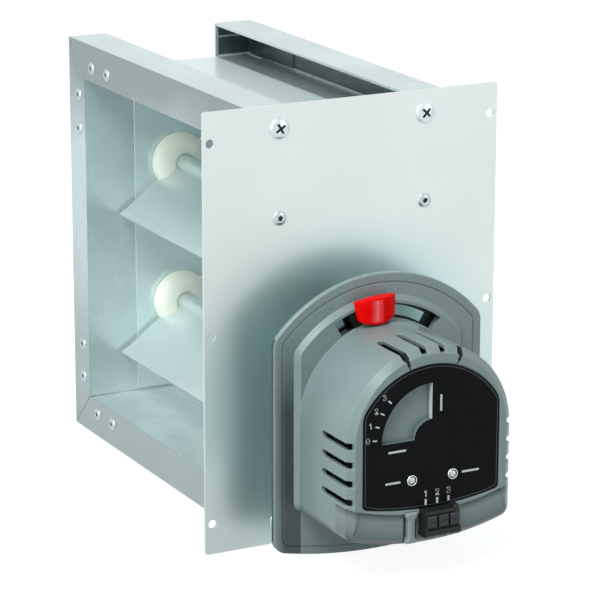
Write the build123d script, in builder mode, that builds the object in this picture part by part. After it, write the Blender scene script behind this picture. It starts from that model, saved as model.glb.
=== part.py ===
from build123d import *
import math
import os

os.makedirs("parts", exist_ok=True)

# ---------------------------------------------------------------- driving sizes, mm
frame_width = 127.0        # along the air flow, X
frame_height = 253.0       # Z
frame_reach = 254.0        # into the duct, Y, from the back of the mounting plate
rim = 23.1                 # depth of the channel section, and so of the frame's rim
lip = 25.4                 # width of each returned lip
sheet = 1.5                # frame sheet thickness
gap = 0.3                  # clearance between separate sheet-metal members

plate_width = 189.0
plate_height = 258.0
plate_t = 1.5
edge_hole_x = 90.0
edge_hole_z = 111.0
edge_hole_r = 2.6
lip_row_x = 46.8           # screws and rivets that hold the plate to the near jamb
screw_z = 115.5
rivet_z = 64.0
rivet_head_r = 4.0

blade_pitch = 91.0         # between the two blade shafts
blade_half = 52.0          # shaft to free edge
blade_t = 1.2
blade_rest = 36.5          # degrees above the air flow in the rest pose
shaft_r = 4.0
ridge_r = 5.4              # outside of the swage that wraps the shaft
disc_r = 18.5
disc_t = 10.0
slot_fit = 0.1             # blade slot in the discs
bush_r = 6.0
run_fit = 0.05             # radial running clearance

crank_len = 22.0
crank_rest = -7.5          # degrees from +X in the rest pose
pin_r = 2.5
crank_y = 12.0             # near face of both cranks
crank_t = 5.0
bar_t = 2.0
bar_w = 12.0

stand_off = 29.0           # plate front to the back of the operator base
stand_r = 3.5
base_t = 3.0
base_half = 67.0
base_arch_r = 86.0
base_arch_z = -52.0
base_low_z = -130.0
base_low_r = 277.0
boss_h = 3.0
boss_half = 54.5
body_half = 52.3
body_low_z = -107.0
body_low_r = 170.0
body_depth = 57.5          # boss front to the face
body_wall = 2.5
face_t = 3.5                # front wall, thicker round the dial window
face_chamfer = 4.0
label_half = 43.2
label_arch_r = 49.7
label_arch_z = -53.0
label_low_z = -85.8
label_low_r = 200.0
label_t = 0.5
label_gap = 0.6            # dark groove all round the label
panel_top_z = -88.8        # lower edge of the rim under the label, on the centre line
panel_back = 2.2           # set-back of the curved lower panel
panel_half = 45.1
panel_round = 11.0         # depth of the panel's rounded foot
window_r = 31.8
window_hub_r = 10.8

hub_r = 11.0
slot_r_in = body_half + 1.0
slot_r_out = slot_r_in + 9.0
slot_from = -38.0          # degrees, measured anticlockwise from +Z seen from the front
slot_to = 29.0
slider_from = -3.0         # raised block of the slider, under the tab
slider_to = 19.5
band_from = -44.0          # sliding band behind the slot
band_to = 33.0
tab_angle = 5.2
tab_top_r = 68.3
tab_top_half = 12.7
tab_low_half = 11.0

gear_module = 1.9
gear_teeth = 24
pinion_teeth = 10
terminal_x = 3.8
terminal_top = -86.0
terminal_low = -101.5
terminal_w = 22.0
terminal_out = 6.5         # lever front of the block ahead of the face
terminal_pitch = 7.3
button_z = -92.4
button_w = 5.7
button_h = 7.2
button_out = 1.4
guide_x = -12.9
guide_top = -87.0
guide_low = -105.0
guide_out = 2.0            # ahead of the face
lamp_r = 3.2
lamp_spots = [(-12.7, -68.4), (13.3, -68.4)]

# ---------------------------------------------------------------- derived sizes
half_w = frame_width / 2
half_h = frame_height / 2
web_z = half_h - rim                       # duct face of the top and bottom webs
web_far = frame_reach - rim                # duct face of the far web
web_near = rim                             # duct face of the near web
axis_low = -blade_pitch / 2
axis_up = blade_pitch / 2
plate_y = -plate_t
base_back = plate_y - stand_off
base_front = base_back - base_t
boss_front = base_front - boss_h
face_y = boss_front - body_depth
panel_centre_z = body_low_z + body_low_r   # the foot curve's centre
disc_far_y = web_far - 1.0
disc_near_y = web_near + 1.0
blade_far_y = disc_far_y - 2.2
blade_near_y = disc_near_y + 2.2
blade_a = math.radians(blade_rest)
crank_a = math.radians(crank_rest)
pin_x = crank_len * math.cos(crank_a)
pin_dz = crank_len * math.sin(crank_a)


def front(y):
    """Sketch plane square to the shafts: local x is X, local y is Z, normal is -Y."""
    return Plane(origin=(0, y, 0), x_dir=(1, 0, 0), z_dir=(0, -1, 0))


def arch_shape(half, arch_r, arch_z, low_z, low_r, r_top, r_low):
    """Arched outline with straight sides and a shallow curved foot."""
    top_z = arch_z + math.sqrt(max(arch_r ** 2 - half ** 2, 0.0))
    side_z = low_z + low_r - math.sqrt(low_r ** 2 - half ** 2)
    with BuildLine() as outline:
        ThreePointArc((-half, top_z), (0, arch_z + arch_r), (half, top_z))
        Line((half, top_z), (half, side_z))
        ThreePointArc((half, side_z), (0, low_z), (-half, side_z))
        Line((-half, side_z), (-half, top_z))
    make_face(outline.edges())
    if r_top > 0:
        fillet(vertices().group_by(Axis.Y)[-1], radius=r_top)
    if r_low > 0:
        fillet(vertices().group_by(Axis.Y)[0], radius=r_low)


def body_shape(inset):
    """Outline of the operator body, concentric with the drive shaft."""
    r = body_half - inset
    arch_shape(r, r, axis_low, body_low_z + inset, body_low_r - inset, 0, max(6.0 - inset, 2.0))


def ring_sector(r_in, r_out, a_from, a_to):
    """Ring sector about the drive shaft, angles anticlockwise from +Z."""
    pts = []
    for r, a in ((r_out, a_from), (r_out, a_to), (r_in, a_to), (r_in, a_from)):
        t = math.radians(90 + a)
        pts.append((r * math.cos(t), axis_low + r * math.sin(t)))
    m = math.radians(90 + (a_from + a_to) / 2)
    with BuildLine() as outline:
        ThreePointArc(pts[0], (r_out * math.cos(m), axis_low + r_out * math.sin(m)), pts[1])
        Line(pts[1], pts[2])
        ThreePointArc(pts[2], (r_in * math.cos(m), axis_low + r_in * math.sin(m)), pts[3])
        Line(pts[3], pts[0])
    make_face(outline.edges())


def window_shape(grow):
    """Quarter-round dial window with a round notch for the hub."""
    r = window_r + grow
    h = window_hub_r
    c = math.cos(math.radians(45))
    with BuildLine() as outline:
        ThreePointArc((0, axis_low + r), (-r * c, axis_low + r * c), (-r, axis_low))
        Line((-r, axis_low), (-h, axis_low))
        ThreePointArc((-h, axis_low), (-h * c, axis_low + h * c), (0, axis_low + h))
        Line((0, axis_low + h), (0, axis_low + r))
    make_face(outline.edges())


def at_axis(z, y):
    return Plane(origin=(0, y, z), x_dir=(1, 0, 0), z_dir=(0, -1, 0))


# rivets through both side flanges, near each corner of the frame: (Y, Z) pairs
rivet_spots = []
for ys, yd in ((0, 1), (frame_reach, -1)):
    for zs in (-1, 1):
        rivet_spots += [(ys + yd * 34.6, zs * (half_h - 14.5)), (ys + yd * 57.3, zs * (half_h - 14.5))]
        rivet_spots += [(ys + yd * 13.8, zs * (half_h - 34.5)), (ys + yd * 13.8, zs * (half_h - 56.0))]


# ---------------------------------------------------------------- frame members
def long_member(sign):
    """Top (sign +1) or bottom (sign -1) channel: web runs the whole reach, flanges mitred."""
    z_out = sign * half_h
    z_web = sign * web_z
    z_mid = sign * (web_z + sheet / 2)
    # the web narrows at both ends to pass between the jamb lips and flanges
    with Locations((0, frame_reach / 2, z_mid)):
        Box(frame_width, frame_reach - 2 * rim - 2 * gap, sheet)
        Box(frame_width - 4 * sheet - 2 * gap, frame_reach - 2 * sheet - 2 * gap, sheet)
        Box(frame_width - 2 * lip - 2 * gap, frame_reach, sheet)
    y_end = sheet + gap
    z_end = z_out - sign * sheet
    for side in (-1, 1):
        with BuildSketch(Plane(origin=(side * half_w, 0, 0), x_dir=(0, 1, 0), z_dir=(1, 0, 0))) as flange:
            with BuildLine():
                Polyline((rim + gap, z_web), (y_end, z_end), (y_end, z_out),
                         (frame_reach - y_end, z_out), (frame_reach - y_end, z_end),
                         (frame_reach - rim - gap, z_web), close=True)
            make_face()
        extrude(flange.sketch, amount=-side * sheet)
        with Locations((side * (half_w - lip / 2), frame_reach / 2, z_out - sign * sheet / 2)):
            Box(lip, frame_reach - 2 * sheet - 2 * gap, sheet)


def upright(y_web, y_out):
    """Near or far jamb: web between the long webs, flanges mitred, lips full height."""
    s = 1 if y_out > y_web else -1
    with Locations((0, y_web + s * sheet / 2, 0)):
        Box(frame_width, sheet, 2 * (web_z - gap))
    for side in (-1, 1):
        with BuildSketch(Plane(origin=(side * half_w, 0, 0), x_dir=(0, 1, 0), z_dir=(1, 0, 0))) as flange:
            with BuildLine():
                Polyline((y_web, web_z - gap), (y_out, half_h - gap), (y_out, -half_h + gap),
                         (y_web, -web_z + gap), close=True)
            make_face()
        extrude(flange.sketch, amount=-side * sheet)
        with Locations((side * (half_w - lip / 2), y_out - s * sheet / 2, 0)):
            Box(lip, sheet, 2 * half_h)


with BuildPart() as top_channel:
    long_member(1)
top_channel.part.label = "top_channel"
export_step(top_channel.part, "parts/top_channel.step")

with BuildPart() as bottom_channel:
    long_member(-1)
bottom_channel.part.label = "bottom_channel"
export_step(bottom_channel.part, "parts/bottom_channel.step")

with BuildPart() as far_jamb:
    upright(web_far, frame_reach)
    for z in (axis_low, axis_up):
        with BuildSketch(at_axis(z, web_far - 1)):
            Circle(bush_r)
        extrude(amount=-sheet - 2, mode=Mode.SUBTRACT)
far_jamb.part.label = "far_jamb"
export_step(far_jamb.part, "parts/far_jamb.step")

with BuildPart() as near_jamb:
    upright(web_near, 0)
    for z in (axis_low, axis_up):
        with BuildSketch(at_axis(z, web_near + 1)):
            Circle(bush_r)
        extrude(amount=sheet + 2, mode=Mode.SUBTRACT)
near_jamb.part.label = "near_jamb"
export_step(near_jamb.part, "parts/near_jamb.step")

# angle brackets riveted inside the flanges at the four corners of both faces
with BuildPart() as corner_brackets:
    for side in (-1, 1):
        x_in = side * (half_w - sheet)
        for ys, yd in ((0, 1), (frame_reach, -1)):
            for zs in (-1, 1):
                with BuildSketch(Plane(origin=(x_in, 0, 0), x_dir=(0, 1, 0), z_dir=(-side, 0, 0))):
                    y0 = ys + yd * 6.5
                    with BuildLine():
                        Polyline((y0, zs * (half_h - 7.0)), (ys + yd * 64, zs * (half_h - 7.0)),
                                 (ys + yd * 64, zs * (half_h - 20.5)), (y0 + yd * 14.0, zs * (half_h - 20.5)),
                                 (y0 + yd * 14.0, zs * (half_h - 62.5)), (y0, zs * (half_h - 62.5)), close=True)
                    make_face()
                extrude(amount=sheet)
corner_brackets.part.label = "corner_brackets"
export_step(corner_brackets.part, "parts/corner_brackets.step")

with BuildPart() as frame_rivets:
    for side in (-1, 1):
        for y, z in rivet_spots:
            with BuildSketch(Plane(origin=(side * half_w, y, z), x_dir=(0, 1, 0), z_dir=(side, 0, 0))):
                RegularPolygon(rivet_head_r, 8)
            extrude(amount=1.2, taper=25)
frame_rivets.part.label = "frame_rivets"
export_step(frame_rivets.part, "parts/frame_rivets.step")

# ---------------------------------------------------------------- mounting plate and fixings
stand_spots = [(-28, -95), (28, -95), (-30, -20), (30, -20)]

with BuildPart() as mounting_plate:
    with Locations((0, plate_y / 2, 0)):
        Box(plate_width, plate_t, plate_height)
    fillet(mounting_plate.edges().filter_by(Axis.Y), radius=1.5)
    with BuildSketch(front(0)):
        with GridLocations(2 * edge_hole_x, edge_hole_z, 2, 3):
            Circle(edge_hole_r)
        with Locations((0, axis_low)):
            Circle(6.5)
    extrude(amount=plate_t, mode=Mode.SUBTRACT)
mounting_plate.part.label = "mounting_plate"
export_step(mounting_plate.part, "parts/mounting_plate.step")

with BuildPart() as plate_screws:
    with BuildSketch(front(plate_y)):
        with GridLocations(2 * lip_row_x, 2 * screw_z, 2, 2):
            RegularPolygon(6.3, 16)
    extrude(amount=2.6, taper=28)
plate_screws.part.label = "plate_screws"
export_step(plate_screws.part, "parts/plate_screws.step")

with BuildPart() as plate_rivets:
    with BuildSketch(front(plate_y)):
        with GridLocations(2 * lip_row_x, 2 * rivet_z, 2, 2):
            RegularPolygon(4.2, 12)
    extrude(amount=1.4, taper=30)
plate_rivets.part.label = "plate_rivets"
export_step(plate_rivets.part, "parts/plate_rivets.step")

# ---------------------------------------------------------------- jamb seals and shaft bushes
with BuildPart() as far_seal:
    with Locations((0, web_far - 0.25, 0)):
        Box(60, 0.5, 2 * web_z - 2)
    for z in (axis_low, axis_up):
        with BuildSketch(at_axis(z, web_far)):
            Circle(bush_r + 0.3)
        extrude(amount=1, mode=Mode.SUBTRACT)
far_seal.part.label = "far_seal"
export_step(far_seal.part, "parts/far_seal.step")

with BuildPart() as near_seal:
    with Locations((0, web_near + 0.25, 0)):
        Box(60, 0.5, 2 * web_z - 2)
    for z in (axis_low, axis_up):
        with BuildSketch(at_axis(z, web_near + 1)):
            Circle(bush_r + 0.3)
        extrude(amount=2, mode=Mode.SUBTRACT)
near_seal.part.label = "near_seal"
export_step(near_seal.part, "parts/near_seal.step")


def shaft_bush(z, y_in, y_back):
    """Flanged bush in a jamb web: sleeve from y_in through the web, flange behind it."""
    s = 1 if y_back > y_in else -1
    with BuildSketch(at_axis(z, y_in)) as sleeve:
        Circle(bush_r)
    extrude(sleeve.sketch, amount=-(y_back - y_in + s * 1.6))
    with BuildSketch(at_axis(z, y_back)) as flange:
        Circle(9)
    extrude(flange.sketch, amount=-s * 1.6)
    with BuildSketch(at_axis(z, y_in - s)) as bore:
        Circle(shaft_r + run_fit)
    extrude(bore.sketch, amount=-s * 12, mode=Mode.SUBTRACT)


with BuildPart() as far_bush_low:
    shaft_bush(axis_low, web_far - 0.7, web_far + sheet)
far_bush_low.part.label = "far_bush_low"
export_step(far_bush_low.part, "parts/far_bush_low.step")

with BuildPart() as far_bush_up:
    shaft_bush(axis_up, web_far - 0.7, web_far + sheet)
far_bush_up.part.label = "far_bush_up"
export_step(far_bush_up.part, "parts/far_bush_up.step")

with BuildPart() as near_bush_low:
    shaft_bush(axis_low, web_near + 0.7, web_near - sheet)
near_bush_low.part.label = "near_bush_low"
export_step(near_bush_low.part, "parts/near_bush_low.step")

with BuildPart() as near_bush_up:
    shaft_bush(axis_up, web_near + 0.7, web_near - sheet)
near_bush_up.part.label = "near_bush_up"
export_step(near_bush_up.part, "parts/near_bush_up.step")


# ---------------------------------------------------------------- blades, discs, shafts
def blade_plane(z, y):
    """Plane at a shaft, local x along the blade, local y up from its upper face."""
    return Plane(origin=(0, y, z), x_dir=(math.cos(blade_a), 0, math.sin(blade_a)), z_dir=(0, -1, 0))


def blade(z):
    length = blade_far_y - blade_near_y
    with BuildSketch(blade_plane(z, blade_near_y)) as section:
        Rectangle(2 * blade_half, blade_t)
        with Locations((-blade_half + 2.5, 0), (blade_half - 2.5, 0)):
            Rectangle(5, 2.0)
        Circle(ridge_r)
        with Locations((0, -ridge_r - blade_t / 2)):
            Rectangle(4 * ridge_r, 2 * ridge_r, mode=Mode.SUBTRACT)
        Circle(shaft_r + 0.02, mode=Mode.SUBTRACT)
    extrude(section.sketch, amount=-length)


def blade_disc(z, y_wall, s):
    """Domed nylon disc on the shaft, slotted for the blade end, where s points into the duct."""
    with BuildSketch(Plane(origin=(0, y_wall, z), x_dir=(1, 0, 0), z_dir=(0, 0, 1))) as half:
        with BuildLine() as profile:
            Polyline((shaft_r, 0), (disc_r, 0), (disc_r, s * 5.0), (disc_r - 4.5, s * disc_t),
                     (shaft_r, s * disc_t), close=True)
        make_face(profile.edges())
    revolve(half.sketch, axis=Axis((0, 0, z), (0, 1, 0)), revolution_arc=360)
    with BuildSketch(blade_plane(z, y_wall + s * 2.15)) as cut:
        Rectangle(2 * disc_r + 4, blade_t + slot_fit)
        Circle(ridge_r + slot_fit)
    extrude(cut.sketch, amount=-s * disc_t, mode=Mode.SUBTRACT)


with BuildPart() as lower_blade:
    blade(axis_low)
lower_blade.part.label = "lower_blade"
export_step(lower_blade.part, "parts/lower_blade.step")

with BuildPart() as upper_blade:
    blade(axis_up)
upper_blade.part.label = "upper_blade"
export_step(upper_blade.part, "parts/upper_blade.step")

with BuildPart() as lower_far_disc:
    blade_disc(axis_low, disc_far_y, -1)
lower_far_disc.part.label = "lower_far_disc"
export_step(lower_far_disc.part, "parts/lower_far_disc.step")

with BuildPart() as upper_far_disc:
    blade_disc(axis_up, disc_far_y, -1)
upper_far_disc.part.label = "upper_far_disc"
export_step(upper_far_disc.part, "parts/upper_far_disc.step")

with BuildPart() as lower_near_disc:
    blade_disc(axis_low, disc_near_y, 1)
lower_near_disc.part.label = "lower_near_disc"
export_step(lower_near_disc.part, "parts/lower_near_disc.step")

with BuildPart() as upper_near_disc:
    blade_disc(axis_up, disc_near_y, 1)
upper_near_disc.part.label = "upper_near_disc"
export_step(upper_near_disc.part, "parts/upper_near_disc.step")

shaft_end_y = web_far + sheet + 3.5
with BuildPart() as lower_shaft:
    with BuildSketch(at_axis(axis_low, shaft_end_y)):
        Circle(shaft_r)
    extrude(amount=shaft_end_y - (base_front - 22))
    chamfer(lower_shaft.edges().group_by(Axis.Y)[-1], length=0.6)
lower_shaft.part.label = "lower_shaft"
export_step(lower_shaft.part, "parts/lower_shaft.step")

with BuildPart() as upper_shaft:
    with BuildSketch(at_axis(axis_up, shaft_end_y)):
        Circle(shaft_r)
    extrude(amount=shaft_end_y - (crank_y - 1.5))
    chamfer(upper_shaft.edges().group_by(Axis.Y)[-1], length=0.6)
upper_shaft.part.label = "upper_shaft"
export_step(upper_shaft.part, "parts/upper_shaft.step")


# ---------------------------------------------------------------- cranks and tie bar
def crank(z):
    """Arm clamped on a shaft, with a headed pin that carries the tie bar."""
    with BuildSketch(at_axis(z, crank_y + crank_t)) as arm:
        Circle(8)
        with Locations((pin_x, pin_dz)):
            Circle(5)
        with Locations((pin_x / 2, pin_dz / 2)):
            Rectangle(crank_len, 9, rotation=crank_rest)
        Circle(shaft_r, mode=Mode.SUBTRACT)
    extrude(arm.sketch, amount=crank_t)
    with BuildSketch(at_axis(z, crank_y)) as pin:
        with Locations((pin_x, pin_dz)):
            Circle(pin_r)
    extrude(pin.sketch, amount=bar_t + 1.0)
    with BuildSketch(at_axis(z, crank_y - bar_t - 1.0)) as head:
        with Locations((pin_x, pin_dz)):
            Circle(4.2)
    extrude(head.sketch, amount=1.2)


with BuildPart() as lower_crank:
    crank(axis_low)
lower_crank.part.label = "lower_crank"
export_step(lower_crank.part, "parts/lower_crank.step")

with BuildPart() as upper_crank:
    crank(axis_up)
upper_crank.part.label = "upper_crank"
export_step(upper_crank.part, "parts/upper_crank.step")

with BuildPart() as tie_bar:
    with BuildSketch(Plane(origin=(pin_x, crank_y - 0.5, pin_dz), x_dir=(1, 0, 0), z_dir=(0, -1, 0))):
        SlotOverall(blade_pitch + bar_w, bar_w, rotation=90)
        with Locations((0, axis_low)):
            Circle(pin_r + run_fit, mode=Mode.SUBTRACT)
        with Locations((0, axis_up)):
            Circle(pin_r + 0.35, mode=Mode.SUBTRACT)
    extrude(amount=bar_t)
tie_bar.part.label = "tie_bar"
export_step(tie_bar.part, "parts/tie_bar.step")

# ---------------------------------------------------------------- operator: base and stand-offs
with BuildPart() as standoffs:
    with BuildSketch(front(plate_y)):
        with Locations(*stand_spots):
            RegularPolygon(stand_r, 6)
    extrude(amount=stand_off)
standoffs.part.label = "standoffs"
export_step(standoffs.part, "parts/standoffs.step")

with BuildPart() as base_screws:
    with BuildSketch(front(base_front)):
        with Locations(*stand_spots):
            RegularPolygon(4.3, 10)
    extrude(amount=1.8, taper=20)
base_screws.part.label = "base_screws"
export_step(base_screws.part, "parts/base_screws.step")

lever_ring_in = hub_r + 5.0
with BuildPart() as operator_base:
    with BuildSketch(front(base_back)):
        arch_shape(base_half, base_arch_r, base_arch_z, base_low_z, base_low_r, 10, 9)
    extrude(amount=base_t)
    chamfer(operator_base.faces().sort_by(Axis.Y)[0].outer_wire().edges(), length=0.6)
    # sleeve on the back that the release lever turns on
    with BuildSketch(at_axis(axis_low, base_back)):
        Circle(lever_ring_in - run_fit)
    extrude(amount=-4.0)
    # shallow groove round the front face
    with BuildSketch(front(base_front)) as groove:
        arch_shape(base_half - 5.0, base_arch_r - 4.6, base_arch_z - 0.5, base_low_z + 4.4,
                   base_low_r, 6, 5)
        offset(amount=-0.9, mode=Mode.SUBTRACT)
    extrude(amount=-0.6, mode=Mode.SUBTRACT)
    with BuildSketch(front(base_front - 1)) as openings:
        with Locations((0, axis_low)):
            Circle(hub_r + 0.4)
    extrude(amount=-(base_t + 6), mode=Mode.SUBTRACT)
    with BuildSketch(front(base_front - 1)):
        ring_sector(slot_r_in, slot_r_out, slot_from, slot_to)
    extrude(amount=-(base_t + 2), mode=Mode.SUBTRACT)
operator_base.part.label = "operator_base"
export_step(operator_base.part, "parts/operator_base.step")

# ---------------------------------------------------------------- operator: housing
slot_w = 4.0
slot_start_y = base_front - 29.5
slot_len = 40.0

with BuildPart() as housing:
    # arched foot with a sloped edge
    with BuildSketch(front(base_front)):
        arch_shape(boss_half, 69.0, -47.5, body_low_z, body_low_r, 8, 6)
    extrude(amount=boss_h)
    chamfer(housing.faces().sort_by(Axis.Y)[0].outer_wire().edges(), length=2.9)
    with BuildSketch(front(base_front)):
        body_shape(0)
    extrude(amount=base_front - face_y)
    chamfer(housing.faces().sort_by(Axis.Y)[0].outer_wire().edges(), length=face_chamfer)
    # cavity, open to the base
    with BuildSketch(front(base_front + 1)):
        body_shape(body_wall)
    extrude(amount=base_front + 1 - (face_y + face_t), mode=Mode.SUBTRACT)
    # clearance where the foot crosses the lever's slot
    with BuildSketch(front(base_front + 1)):
        ring_sector(slot_r_in, slot_r_out, slot_from, slot_to)
    extrude(amount=boss_h + 4, mode=Mode.SUBTRACT)
    # recess for the face plate, dial window and lower panel
    with BuildSketch(front(face_y)):
        arch_shape(label_half + label_gap, label_arch_r + label_gap, label_arch_z,
                   label_low_z - label_gap, label_low_r, 12, 3)
    extrude(amount=-label_t, mode=Mode.SUBTRACT)
    with BuildSketch(front(face_y)):
        window_shape(0)
        with Locations(*lamp_spots):
            Circle(lamp_r + 0.1)
    extrude(amount=-face_t - 1, mode=Mode.SUBTRACT)
    # cooling slots, four on each side wall and four round the arch
    for side in (-1, 1):
        for k in range(4):
            z = axis_low + 1.5 - 10.8 * k
            with BuildSketch(Plane(origin=(side * (body_half - 4.1), slot_start_y, z),
                                   x_dir=(0, -1, 0), z_dir=(side, 0, 0))):
                with Locations((slot_len / 2, 0)):
                    SlotOverall(slot_len, slot_w)
            extrude(amount=12, mode=Mode.SUBTRACT)
    for a in (-19.0, -5.5, 8.0, 21.5):
        t = math.radians(a)
        o = (math.sin(t) * (body_half - 4.1), slot_start_y, axis_low + math.cos(t) * (body_half - 4.1))
        with BuildSketch(Plane(origin=o, x_dir=(0, -1, 0), z_dir=(math.sin(t), 0, math.cos(t)))):
            with Locations((slot_len / 2, 0)):
                SlotOverall(slot_len, slot_w)
        extrude(amount=12, mode=Mode.SUBTRACT)
    # two snap seams across the bezel, in line with the outer arch slots
    for a in (-19.0, 21.5):
        t = math.radians(a)
        o = (math.sin(t) * (body_half - 7.0), face_y, axis_low + math.cos(t) * (body_half - 7.0))
        with Locations(Plane(origin=o, x_dir=(0, -1, 0), z_dir=(math.sin(t), 0, math.cos(t)))):
            Box(2.4, 1.4, 9.0, mode=Mode.SUBTRACT)
    # lower panel: set back under the rim and rounded into the underside, concentric with the foot
    step_r = panel_centre_z - panel_top_z
    round_r = body_low_r + 2.0
    sweep = math.degrees(math.asin(panel_half / step_r))
    with BuildSketch(Plane(origin=(0, face_y, panel_centre_z), x_dir=(0, 0, -1), z_dir=(1, 0, 0))) as lower:
        with BuildLine() as profile:
            Line((step_r, 1), (step_r, -panel_back))
            Line((step_r, -panel_back), (step_r + 5.0, -panel_back))
            ThreePointArc((step_r + 5.0, -panel_back), (step_r + 13.5, -panel_back - 2.8),
                          (body_low_r - 0.6, -panel_back - panel_round))
            Line((body_low_r - 0.6, -panel_back - panel_round), (round_r, -panel_back - panel_round))
            Line((round_r, -panel_back - panel_round), (round_r, 1))
            Line((round_r, 1), (step_r, 1))
        make_face(profile.edges())
    foot_axis = Axis((0, 0, panel_centre_z), (0, 1, 0))
    turned = lower.sketch.rotate(foot_axis, -sweep)
    revolve(turned, axis=foot_axis, revolution_arc=2 * sweep, mode=Mode.SUBTRACT)
    with BuildSketch(front(face_y)):
        with Locations((terminal_x, (terminal_top + terminal_low) / 2)):
            Rectangle(terminal_w + 0.2, terminal_top - terminal_low + 0.2)
    extrude(amount=-6, mode=Mode.SUBTRACT)
    with BuildSketch(front(face_y)):
        with Locations((guide_x, (guide_top + guide_low) / 2)):
            Rectangle(8.2, guide_top - guide_low + 0.2)
    extrude(amount=-4.5, mode=Mode.SUBTRACT)
    # posts that carry the circuit board
    with BuildSketch(front(face_y + face_t + 8.0)):
        with Locations((-38, -64), (38, -64), (-36, -92), (36, -92)):
            Rectangle(5.0, 5.0)
    extrude(amount=8.0)
housing.part.label = "housing"
export_step(housing.part, "parts/housing.step")

# ---------------------------------------------------------------- operator: face
with BuildPart() as face_plate:
    with BuildSketch(front(face_y + label_t)):
        arch_shape(label_half, label_arch_r, label_arch_z, label_low_z, label_low_r, 12, 3)
        with Locations(*lamp_spots):
            Circle(lamp_r + 0.1, mode=Mode.SUBTRACT)
    extrude(amount=label_t)
    with BuildSketch(front(face_y - 1)):
        window_shape(0)
    extrude(amount=-label_t - 2, mode=Mode.SUBTRACT)
face_plate.part.label = "face_plate"
export_step(face_plate.part, "parts/face_plate.step")

for name, spot in (("open_lamp", lamp_spots[0]), ("closed_lamp", lamp_spots[1])):
    with BuildPart() as lamp:
        with BuildSketch(front(face_y + face_t)):
            with Locations(spot):
                Circle(lamp_r)
        extrude(amount=face_t + 1.2)
        chamfer(lamp.edges().group_by(Axis.Y)[0], length=1.0)
    lamp.part.label = name
    export_step(lamp.part, "parts/" + name + ".step")

with BuildPart() as terminal_block:
    x_left = terminal_x - terminal_w / 2
    with BuildSketch(Plane(origin=(x_left, face_y, 0), x_dir=(0, 1, 0), z_dir=(1, 0, 0))) as side:
        with BuildLine() as outline:
            Polyline((6, terminal_top), (-1, terminal_top), (-terminal_out, terminal_top - 2.2),
                     (-terminal_out, terminal_low + 5.0), (-terminal_out - 1.5, terminal_low + 4.0),
                     (-terminal_out - 1.5, terminal_low + 1.5), (-terminal_out, terminal_low),
                     (6, terminal_low), close=True)
        make_face(outline.edges())
    extrude(side.sketch, amount=terminal_w)
    with BuildSketch(front(face_y - terminal_out)):
        with Locations((terminal_x, button_z)):
            with GridLocations(terminal_pitch, 1, 3, 1):
                Rectangle(button_w + 2 * gap, button_h + 2 * gap)
    extrude(amount=-6, mode=Mode.SUBTRACT)
    # notches between the wire entries, and the entries themselves, in the underside
    with BuildSketch(front(face_y - terminal_out - 2)):
        with Locations((terminal_x, terminal_low)):
            with GridLocations(terminal_pitch, 1, 2, 1):
                Rectangle(1.8, 3.0, rotation=45)
    extrude(amount=-terminal_out - 1, mode=Mode.SUBTRACT)
    with BuildSketch(Plane(origin=(terminal_x, face_y - terminal_out + 2.2, terminal_low), x_dir=(1, 0, 0),
                           z_dir=(0, 0, -1))):
        with GridLocations(terminal_pitch, 1, 3, 1):
            Circle(1.8)
    extrude(amount=-3, mode=Mode.SUBTRACT)
terminal_block.part.label = "terminal_block"
export_step(terminal_block.part, "parts/terminal_block.step")

for k in range(3):
    x = terminal_x + (k - 1) * terminal_pitch
    with BuildPart() as button:
        with BuildSketch(front(face_y - terminal_out + 3.6)):
            with Locations((x, button_z)):
                Rectangle(button_w, button_h)
        extrude(amount=3.6 + button_out)
        chamfer(button.edges().filter_by(Axis.X).group_by(Axis.Y)[0], length=0.8)
        with BuildSketch(front(face_y - terminal_out - button_out)):
            with Locations((x, button_z)):
                Rectangle(button_w - 2.0, 1.0)
        extrude(amount=-0.6, mode=Mode.SUBTRACT)
    button.part.label = "wire_button_" + str(k + 1)
    export_step(button.part, "parts/wire_button_" + str(k + 1) + ".step")

with BuildPart() as wire_guide:
    with BuildSketch(front(face_y + 4.5)) as post:
        with BuildLine() as outline:
            Polyline((guide_x - 3.8, guide_top), (guide_x + 3.8, guide_top),
                     (guide_x + 3.8, guide_top - 2.2), (guide_x + 2.2, guide_top - 4.6),
                     (guide_x + 2.2, guide_low + 3.4), (guide_x + 3.2, guide_low + 1.6),
                     (guide_x + 3.2, guide_low), (guide_x - 3.2, guide_low),
                     (guide_x - 3.2, guide_low + 1.6), (guide_x - 2.2, guide_low + 3.4),
                     (guide_x - 2.2, guide_top - 4.6), (guide_x - 3.8, guide_top - 2.2), close=True)
        make_face(outline.edges())
    extrude(post.sketch, amount=4.5 + guide_out)
    chamfer(wire_guide.faces().sort_by(Axis.Y)[0].outer_wire().edges(), length=0.8)
wire_guide.part.label = "wire_guide"
export_step(wire_guide.part, "parts/wire_guide.step")

# ---------------------------------------------------------------- operator: drive
gear_y = base_front - 15.5
gear_w = 6.0
gear_plate_y = gear_y - gear_w - 1.5
gear_plate_t = 1.5
centre_dist = gear_module * (gear_teeth + pinion_teeth) / 2
pinion_z = axis_low - centre_dist
indicator_y = face_y + face_t + 0.6        # front face of the dial sector

with BuildPart() as coupling_hub:
    with BuildSketch(at_axis(axis_low, base_back + 2)):
        Circle(hub_r)
    extrude(amount=2 + base_t + 21.8)
    with BuildSketch(at_axis(axis_low, base_front - 20)):
        Circle(6.5)
    extrude(amount=base_front - 20 - indicator_y - 1.2)
    with BuildSketch(at_axis(axis_low, base_back + 3)):
        Circle(shaft_r)
    extrude(amount=base_t + 25 + 1, mode=Mode.SUBTRACT)
    with BuildSketch(Plane(origin=(0, base_front - 6, axis_low), x_dir=(0, 1, 0), z_dir=(1, 0, 0))):
        Circle(2.0)
    extrude(amount=hub_r + 2, mode=Mode.SUBTRACT)
coupling_hub.part.label = "coupling_hub"
export_step(coupling_hub.part, "parts/coupling_hub.step")

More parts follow.
